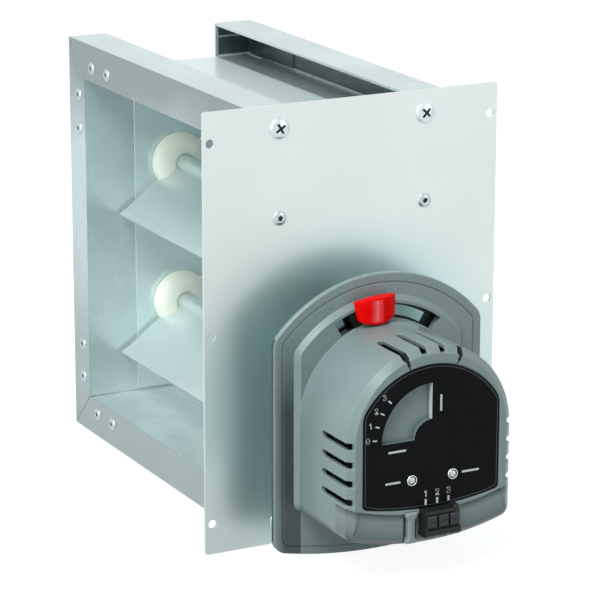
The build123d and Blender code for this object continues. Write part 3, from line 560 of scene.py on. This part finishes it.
def lathe_into(bm, profile, place, axis, segments, slots=None):
    """Adds a turned shape: profile is (radius, height), axis the way heights go, slots the materials of its bands."""
    axis = Vector(axis).normalized()
    side = axis.orthogonal().normalized()
    other = axis.cross(side)
    rings = []
    for radius, height in profile:
        centre = Vector(place) + axis * height
        if radius < 1e-6:
            rings.append([bm.verts.new(centre * MM)])
            continue
        turns = [2 * math.pi * k / segments for k in range(segments)]
        rings.append([bm.verts.new((centre + (side * math.cos(t) + other * math.sin(t)) * radius) * MM)
                      for t in turns])
    for j, (a, b) in enumerate(zip(rings, rings[1:])):
        for k in range(segments):
            n = (k + 1) % segments
            if len(b) == 1:
                face = bm.faces.new((a[k], b[0], a[n]))
            else:
                face = bm.faces.new((a[k], b[k], b[n], a[n]))
            face.material_index = slots[j] if slots else 0


def prism_into(bm, outline, y, thick):
    """Adds a flat plate from an (x, z) outline, front face at y, thick towards +Y."""
    front = [bm.verts.new(point(x, y, z)) for x, z in outline]
    back = [bm.verts.new(point(x, y + thick, z)) for x, z in outline]
    bm.faces.new(front)
    bm.faces.new(list(reversed(back)))
    count = len(outline)
    for k in range(count):
        n = (k + 1) % count
        bm.faces.new((front[k], back[k], back[n], front[n]))


def band_into(bm, inner, outer, y, thick, closed=True):
    """Adds a flat band between two outlines of equal length; an open one gets two end faces."""
    (fi, fo), (bi, bo) = [[[bm.verts.new(point(x, depth, z)) for x, z in line] for line in (inner, outer)]
                          for depth in (y, y + thick)]
    count = len(inner)
    for k in range(count if closed else count - 1):
        n = (k + 1) % count
        for quad in ((fi[k], fi[n], fo[n], fo[k]), (bi[k], bo[k], bo[n], bi[n]),
                     (fi[k], bi[k], bi[n], fi[n]), (fo[k], fo[n], bo[n], bo[k])):
            bm.faces.new(quad)
    if not closed:
        for k in (0, -1):
            bm.faces.new((fi[k], fo[k], bo[k], bi[k]))


# ------------------------------------------------------------------ fixings
HALF_W, REACH, HALF_H = 63.5, 254.0, 126.5     # frame
FIXING_X = 46.8                                # screws and rivets of the plate
# The rivets' bore and pin get painted shade.
RIVET_SLOTS = [0] * 8 + [1] * 3                # zinc outside, dark bore


def rivet_profile(r, h):
    """Pop rivet: dome, rolled rim and the snapped-off pin inside."""
    shape = [(1, 0), (1, 0.18), (0.96, 0.3), (0.86, 0.55), (0.7, 0.82), (0.55, 0.97), (0.45, 1), (0.37, 0.94),
             (0.33, 0.8), (0.30, 0.3), (0.12, 0.42), (0, 0.42)]
    return [(r * a, h * b) for a, b in shape]


def frame_rivets():
    """Four rivets at each corner of each side; spots are counted from the corner."""
    spots = ((34.6, 14.5), (57.3, 14.5), (13.8, 34.5), (13.8, 56.0))
    bm = bmesh.new()
    for y_corner, y_way in ((0, 1), (REACH, -1)):
        for z_way in (-1, 1):
            for along, down in spots:
                for side in (-1, 1):
                    place = (side * HALF_W, y_corner + y_way * along, z_way * (HALF_H - down))
                    lathe_into(bm, rivet_profile(4.0, 1.2), place, (side, 0, 0), 28, RIVET_SLOTS)
    obj = make_object("frame_rivets_domed", bm, ["zinc", "recess"], 1.0)
    stand_in(obj, "frame", "frame_rivets")


def plate_rivets():
    bm = bmesh.new()
    for x in (-FIXING_X, FIXING_X):
        for z in (-64.0, 64.0):
            lathe_into(bm, rivet_profile(4.2, 1.4), (x, PLATE_Y, z), (0, -1, 0), 36, RIVET_SLOTS)
    obj = make_object("plate_rivets_domed", bm, ["zinc", "recess"], 1.0)
    stand_in(obj, "frame", "plate_rivets")


def dome(r_flange, h_flange, r_dome, height, steps):
    """Profile of a domed head on a thin flange."""
    points = [(r_flange, 0), (r_flange, h_flange * 0.5), (r_flange - h_flange * 0.4, h_flange), (r_dome, h_flange)]
    for k in range(1, steps + 1):
        t = math.radians(90 * k / steps)
        points.append((r_dome * math.cos(t), h_flange + (height - h_flange) * math.sin(t)))
    return points


def cross_into(bm, place, turn):
    """Adds a tapered cross-shaped plug that goes through the top of a screw head at place, for cutting it."""
    reach, half_width, rise, depth, taper = 4.3, 0.875, 1.0, 1.7, 0.55
    x0, y0, z0 = place
    w, e = half_width, reach
    outline = [(w, w), (w, e), (-w, e), (-w, w), (-e, w), (-e, -w), (-w, -w), (-w, -e), (w, -e), (w, -w), (e, -w),
               (e, w)]
    outline = [turned(a, b, turn) for a, b in outline]
    top = [bm.verts.new(point(x0 + a, y0 - rise, z0 + b)) for a, b in outline]
    low = [bm.verts.new(point(x0 + taper * a, y0 + depth, z0 + taper * b)) for a, b in outline]
    bm.faces.new(top)
    bm.faces.new(list(reversed(low)))
    for k in range(len(outline)):
        n = (k + 1) % len(outline)
        bm.faces.new((top[k], low[k], low[n], top[n]))


def cut(obj, cutter):
    """Subtracts cutter from obj and removes it."""
    mod = obj.modifiers.new("cut", "BOOLEAN")
    mod.operation = "DIFFERENCE"
    mod.solver = "EXACT"
    mod.object = cutter
    graph = bpy.context.evaluated_depsgraph_get()
    mesh = bpy.data.meshes.new_from_object(obj.evaluated_get(graph))
    obj.modifiers.clear()
    obj.data = mesh
    bpy.data.objects.remove(cutter)


def plate_screws():
    head_h = 1.9
    heads = bmesh.new()
    plugs = bmesh.new()
    for x, turn in ((-FIXING_X, 0.55), (FIXING_X, 0.82)):
        for z in (-115.5, 115.5):
            lathe_into(heads, dome(6.3, 0.6, 5.6, head_h, 8), (x, PLATE_Y, z), (0, -1, 0), 48)
            cross_into(plugs, (x, PLATE_Y - head_h, z), turn)
    obj = make_object("plate_screws_cross", heads, ["zinc_bright", "recess_green"], 0.7)
    # the cross recess takes the cutter's dark green: painted shade
    cut(obj, make_object("cutter", plugs, ["recess_green"]))
    stand_in(obj, "frame", "plate_screws")


# ------------------------------------------------------------------ blade discs
def blade_disc(node, body, z, y_wall, way):
    """Rounded disc with a collar round the shaft; it stands on a jamb at y_wall and faces that way along Y."""
    shaft_r, steps = 4.1, 12
    profile = [(shaft_r, 0), (17.6, 0), (18.3, 0.5), (18.5, 1.4)]
    for k in range(steps + 1):
        t = math.radians(90 * k / steps)
        profile.append((9.0 + 9.5 * math.cos(t), 2.4 + 7.4 * math.sin(t)))
    profile += [(7.2, 9.9), (6.4, 9.6), (6.1, 8.8), (shaft_r, 8.6)]
    bm = bmesh.new()
    lathe_into(bm, profile, (0, y_wall, z), (0, way, 0), 72)
    stand_in(make_object(node + "_domed", bm, ["nylon"], 0.9), body, node)


for z, word in ((AXIS_Z, "lower"), (UPPER_Z, "upper")):
    blade_disc(word + "_far_disc", word + "_vane", z, 229.9, -1)
    blade_disc(word + "_near_disc", word + "_vane", z, 24.1, 1)

frame_rivets()
plate_rivets()
plate_screws()


# ------------------------------------------------------------------ printing on the label
INK_Y = FACE_Y - 0.05
INK_T = 0.06
LAMP_Z = -68.4
LAMP_X = {"open_lamp": -12.7, "closed_lamp": 13.3}

# Strokes of plain numerals in a box 0.6 wide and 1 high.
DIGITS = {
    "0": [[(0, 0.25), (0.1, 0.06), (0.3, 0), (0.5, 0.06), (0.6, 0.25), (0.6, 0.75), (0.5, 0.94), (0.3, 1),
           (0.1, 0.94), (0, 0.75), (0, 0.25)]],
    "1": [[(0.12, 0.78), (0.34, 1), (0.34, 0)]],
    "2": [[(0.02, 0.76), (0.1, 0.93), (0.3, 1), (0.5, 0.92), (0.57, 0.74), (0.5, 0.52), (0, 0), (0.6, 0)]],
    "3": [[(0.03, 0.86), (0.18, 0.98), (0.36, 1), (0.54, 0.88), (0.54, 0.66), (0.4, 0.53), (0.25, 0.52)],
          [(0.4, 0.53), (0.56, 0.42), (0.6, 0.22), (0.48, 0.05), (0.28, 0), (0.08, 0.05), (0, 0.17)]],
}
STROKE = 0.2                           # width of a stroke to the height of its numeral


def bar_into(bm, x, z, length, width, turn=0.0):
    """Adds a printed bar with its middle at (x, z)."""
    a, b = length / 2, width / 2
    corners = [turned(i, j, turn) for i, j in ((-a, -b), (a, -b), (a, b), (-a, b))]
    prism_into(bm, [(x + i, z + j) for i, j in corners], INK_Y, INK_T)


def digit_into(bm, text, x, z, height, turn):
    """Adds a numeral with its middle at (x, z)."""
    for stroke in DIGITS[text]:
        path = [((a - 0.3) * height, (b - 0.5) * height) for a, b in stroke]
        for (ax, az), (bx, bz) in zip(path, path[1:]):
            across, up = turned((ax + bx) / 2, (az + bz) / 2, turn)
            length = math.hypot(bx - ax, bz - az) + 0.8 * STROKE * height
            bar_into(bm, x + across, z + up, length, STROKE * height, turn + math.atan2(bz - az, bx - ax))


def label_outline(inset):
    """The label's edge, inset by some mm: arch, straight sides and a bowed foot."""
    half, arch_r, arch_z, low_z, low_r = 43.2 - inset, 49.7 - inset, -53.0, -85.8 + inset, 200.0
    arch_steps, foot_steps, corner = 28, 16, 3.0 - inset * 0.6
    reach = math.asin(min(1.0, half / arch_r))

    def foot(x):
        return low_z + low_r - math.sqrt(low_r ** 2 - x ** 2)

    line = []
    for k in range(arch_steps + 1):
        a = -reach + 2 * reach * k / arch_steps
        line.append((arch_r * math.sin(a), arch_z + arch_r * math.cos(a)))
    rounding = [(half - corner + corner * math.cos(t), foot(half) + corner - corner * math.sin(t))
                for t in (math.radians(15 * k) for k in range(7))]
    line += rounding
    for k in range(1, foot_steps):
        x = (half - corner) * (1 - 2 * k / foot_steps)
        line.append((x, foot(x)))
    return line + [(-x, z) for x, z in reversed(rounding)]


def label_print():
    bm = bmesh.new()
    # dial: four ticks with numerals, closed at the left and open at the top
    for k in range(4):
        t = math.radians(174.7 - 12.3 * k)
        bar_into(bm, *polar(36.2, t, AXIS_Z), 2.7, 0.85, t)
        digit_into(bm, str(k), *polar(40.6, t, AXIS_Z), 3.0, math.radians(4))
    # bars that stand for words, beside the window, under it and beside each lamp
    for x, z, length, turn in ((5.6, -26.0, 9.5, 90), (-22.0, -50.4, 11.0, 0), (-24.5, LAMP_Z, 9.5, 0),
                               (25.0, LAMP_Z, 11.0, 0)):
        bar_into(bm, x, z, length, 1.2, math.radians(turn))
    # terminal numbers and marks
    for k in range(3):
        x = 3.8 + (k - 1) * 7.3
        bar_into(bm, x, -82.6, 3.4, 1.3, math.radians(90))
        digit_into(bm, str(k + 1), x, -77.6, 3.4, 0)
    add_on(make_object("label_print", bm, ["ink"]))


def label_line():
    bm = bmesh.new()
    band_into(bm, label_outline(1.5), label_outline(1.15), INK_Y, INK_T)
    add_on(make_object("label_line", bm, ["ink_grey"]))


label_print()
label_line()


# ------------------------------------------------------------------ lamps
def lamp(node, x):
    """Bright turned bezel round a polished dome; the seat between them is dark with painted shade."""
    seat = -3.0                        # how far it goes into the housing
    profile = [(3.2, seat), (3.2, 0.5), (3.05, 1.0), (2.75, 1.15), (2.5, 1.0), (2.35, 0.5)]
    for k in range(6):
        t = math.radians(15 * k)
        profile.append((2.2 * math.cos(t), 0.3 + 1.3 * math.sin(t)))
    profile.append((0, 1.6))
    bm = bmesh.new()
    lathe_into(bm, profile, (x, FACE_Y, LAMP_Z), (0, -1, 0), 40, [0] * 4 + [1] * 2 + [2] * 6)
    stand_in(make_object(node + "_bezel", bm, ["chrome", "recess", "lamp"], 0.9), "frame", node)


for node, x in LAMP_X.items():
    lamp(node, x)


# ------------------------------------------------------------------ release tab
def release_tab():
    """Shield-shaped grip: bowed across its width, a rib down the front, rounded lower corners."""
    back, thick, tilt = -37.2, 8.0, math.radians(5.2)
    top_half, low_half, top_r, low_r, corner, crown = 12.7, 11.0, 68.3, 53.5, 4.5, 0.9
    rib_place, rib_width, rib_height = 0.16, 0.07, 0.6
    rows, cols = 22, 44

    def half_width(v):
        """At height v, from 0 at the foot to 1 at the top."""
        half = low_half + (top_half - low_half) * v
        rise = v * (top_r - low_r)
        if rise < corner:
            half -= corner - math.sqrt(max(0.0, corner ** 2 - (corner - rise) ** 2))
        return half

    def swell(u, v):
        """Depth of the front at u, from -1 at the left edge to 1 at the right, and height v."""
        bow = (1 - abs(u) ** 2.2) ** 0.5 if abs(u) < 1 else 0.0
        depth = thick * (0.30 + 0.62 * bow) - 6.16 * max(0.0, v - 0.75) ** 2
        rib = math.exp(-((u - rib_place) / rib_width) ** 2) * min(1.0, 6 * v) * min(1.0, 5 * (1 - v) + 0.3)
        return min(thick, depth + rib_height * rib)

    bm = bmesh.new()
    front, rear = {}, {}
    for j in range(rows + 1):
        v = j / rows
        for k in range(cols + 1):
            u = -1 + 2 * k / cols
            r = low_r + (top_r - crown - low_r) * v + crown * (1 - u * u) * v
            x, z = turned(half_width(v) * u, r, tilt)
            front[j, k] = bm.verts.new(point(x, back - swell(u, v), AXIS_Z + z))
            rear[j, k] = bm.verts.new(point(x, back, AXIS_Z + z))
    for j in range(rows):
        for k in range(cols):
            cell = ((j, k), (j, k + 1), (j + 1, k + 1), (j + 1, k))
            bm.faces.new([front[c] for c in cell])
            bm.faces.new([rear[c] for c in reversed(cell)])
    edges = [((j, k), (j + 1, k)) for j in range(rows) for k in (0, cols)]
    edges += [((j, k), (j, k + 1)) for k in range(cols) for j in (0, rows)]
    for a, b in edges:
        bm.faces.new((front[a], front[b], rear[b], rear[a]))
    stand_in(make_object("release_tab_grip", bm, ["red"], 0.8), "release_lever", "release_tab")


release_tab()


# ------------------------------------------------------------------ bezel, dial window and terminal
def bezel_notches():
    """Dark gaps across the bezel, in line with the outer arch slots."""
    half_width = 0.9
    section = [(45.3, -0.04), (48.35, -0.04), (52.36, 4.0), (52.36, 6.5), (51.6, 6.5), (51.6, 4.4), (48.0, 0.8),
               (45.3, 0.8)]            # radius and depth behind the face
    bm = bmesh.new()
    for degrees in (-19.0, 21.5):
        turn = math.radians(-degrees)
        ends = []
        for side in (-half_width, half_width):
            spots = [(turned(side, r, turn), FACE_Y + depth) for r, depth in section]
            ends.append([bm.verts.new(point(x, y, AXIS_Z + z)) for (x, z), y in spots])
        a, b = ends
        for k in range(len(section)):
            n = (k + 1) % len(section)
            bm.faces.new((a[k], a[n], b[n], b[k]))
        bm.faces.new(a)
        bm.faces.new(list(reversed(b)))
    bmesh.ops.triangulate(bm, faces=bm.faces)
    add_on(make_object("bezel_notches", bm, ["slider"]))


def dial_card():
    """Plain card behind the window; it turns with the shaft."""
    start, sweep, steps = 36, 183, 60
    turns = [math.radians(start + sweep * k / steps) for k in range(steps + 1)]
    inner, outer = ([polar(r, t, AXIS_Z) for t in turns] for r in (6.0, 31.4))
    bm = bmesh.new()
    band_into(bm, inner, outer, FACE_Y + 4.1, 1.2, closed=False)
    stand_in(make_object("dial_card", bm, ["window"]), "lower_vane", "indicator")


def window_edge_painted_light():
    """Pale strip on the window's right-hand side wall: painted light where that wall is lit."""
    left, right, top, foot = -0.35, -0.02, -13.9, -34.5
    bm = bmesh.new()
    prism_into(bm, [(left, top), (right, top), (right, foot), (left, foot)], FACE_Y + 0.1, 3.3)
    add_on(make_object("window_edge_painted_light", bm, ["pale"]))


def terminal_piece(name, low, high, radius):
    """A moulded block with rounded edges between two corners."""
    bm = bmesh.new()
    bmesh.ops.create_cube(bm, size=1.0)
    for vert in bm.verts:
        for axis in range(3):
            middle, span = (low[axis] + high[axis]) / 2, high[axis] - low[axis]
            vert.co[axis] = (middle + vert.co[axis] * span) * MM
    bmesh.ops.bevel(bm, geom=list(bm.edges), offset=radius * MM, segments=3, profile=0.5, affect="EDGES")
    add_on(make_object(name, bm, ["terminal"], 1.2))


bezel_notches()
dial_card()
window_edge_painted_light()
terminal_piece("terminal_end", (10.9, FACE_Y - 7.2, -95.5), (14.6, FACE_Y + 1.0, -84.2), 1.6)
terminal_piece("terminal_lip", (-7.0, FACE_Y - 6.9, -88.6), (11.6, FACE_Y - 0.5, -86.2), 0.8)


# ------------------------------------------------------------------ camera
CAMERA_PLACE = Vector((-0.79503, -1.45189, 0.47283))
CAMERA_TURN = math.radians(27.691)      # of the view from +Y towards +X
CAMERA_DOWN = math.radians(15.624)
CAMERA_ROLL = math.radians(0.071)
SENSOR = 36.0
LENS = 179.73


def make_camera():
    forward = Vector((math.sin(CAMERA_TURN) * math.cos(CAMERA_DOWN),
                      math.cos(CAMERA_TURN) * math.cos(CAMERA_DOWN), -math.sin(CAMERA_DOWN)))
    right = Vector((math.cos(CAMERA_TURN), -math.sin(CAMERA_TURN), 0))
    up = right.cross(forward)
    c, s = math.cos(CAMERA_ROLL), math.sin(CAMERA_ROLL)
    data = bpy.data.cameras.new("view")
    data.lens = LENS
    data.sensor_width = SENSOR
    data.clip_start = 0.05
    data.clip_end = 50
    cam = bpy.data.objects.new("view", data)
    scene.collection.objects.link(cam)
    turn = Matrix((c * right + s * up, -s * right + c * up, -forward)).transposed()
    cam.matrix_world = Matrix.Translation(CAMERA_PLACE) @ turn.to_4x4()
    scene.camera = cam


make_camera()


# ------------------------------------------------------------------ lights, floor and backdrop
SOFT_LIGHT = (0.84, 0.98, 1.0, 1)
SOFT_STRENGTH = 0.40                    # of the world on the object
FLOOR_GREY = (0.4, 0.4, 0.4, 1)
GLOW_SEEN = 0.86                        # what the floor adds to its own light for the camera
GLOW_MIRRORED = 0.66                    # and for what metal and glass show


def area_light(name, place, target, size, power, colour):
    data = bpy.data.lights.new(name, "AREA")
    data.shape = "RECTANGLE"
    data.size, data.size_y = size
    data.energy = power
    data.color = colour
    light = bpy.data.objects.new(name, data)
    scene.collection.objects.link(light)
    light.location = place
    light.rotation_euler = (Vector(target) - Vector(place)).to_track_quat("-Z", "Y").to_euler()


area_light("key", (-1.5, -1.1, 2.6), (0, 0, 0), (1.5, 1.5), 66, (0.95, 1.0, 1.0))
area_light("left", (-2.6, -0.4, 0.7), (0, 0.1, 0), (1.6, 1.6), 27, (0.93, 1.0, 1.0))
area_light("right", (1.8, -2.2, 0.9), (0, 0, -0.05), (1.0, 1.8), 8, (0.95, 1.0, 1.0))


def white_world():
    """A bright even studio: white to the camera and in reflections, soft grey light on the object."""
    world = bpy.data.worlds.new("studio")
    world.use_nodes = True
    tree = world.node_tree
    tree.nodes.clear()
    link = tree.links.new

    def background(colour, strength):
        n = tree.nodes.new("ShaderNodeBackground")
        n.inputs["Color"].default_value = colour
        n.inputs["Strength"].default_value = strength
        return n.outputs["Background"]

    def either(a, b):
        n = tree.nodes.new("ShaderNodeMath")
        n.operation = "ADD"
        n.use_clamp = True
        link(a, n.inputs[0])
        link(b, n.inputs[1])
        return n.outputs[0]

    rays = tree.nodes.new("ShaderNodeLightPath").outputs
    mix = tree.nodes.new("ShaderNodeMixShader")
    link(either(either(rays["Is Camera Ray"], rays["Is Glossy Ray"]), rays["Is Transmission Ray"]),
         mix.inputs["Fac"])
    link(background(SOFT_LIGHT, SOFT_STRENGTH), mix.inputs[1])
    link(background((1, 1, 1, 1), 1.0), mix.inputs[2])
    link(mix.outputs["Shader"], tree.nodes.new("ShaderNodeOutputWorld").inputs["Surface"])
    scene.world = world


white_world()


def background_glow(m):
    """Brings the floor up to white for the camera, and nearly so for what metal reflects."""
    rays = m.node("ShaderNodeLightPath").outputs
    mirrored = m.math("ADD", rays["Is Glossy Ray"], rays["Is Transmission Ray"])
    return m.math("ADD", m.all(rays["Is Camera Ray"], GLOW_SEEN), m.all(mirrored, GLOW_MIRRORED))


def make_floor():
    """White floor just under the part; it keeps a soft shadow."""
    size, gap = 12, 0.0005
    low = cad_box[0][2]
    bpy.ops.mesh.primitive_plane_add(size=size, location=(0, 0, low - gap))
    floor = bpy.context.object
    floor.name = "floor"
    m = Nodes("floor_white").set(Base_Color=FLOOR_GREY, Roughness=0.9, Specular_IOR_Level=0.0)
    glow = m.node("ShaderNodeEmission")
    glow.inputs["Color"].default_value = (1, 1, 1, 1)
    m.link(background_glow(m), glow.inputs["Strength"])
    both = m.node("ShaderNodeAddShader")
    m.link(m.shader.outputs["BSDF"], both.inputs[0])
    m.link(glow.outputs["Emission"], both.inputs[1])
    m.link(both.outputs["Shader"], m.out.inputs["Surface"])
    floor.data.materials.append(m.mat)


make_floor()

scene.view_settings.view_transform = "Standard"
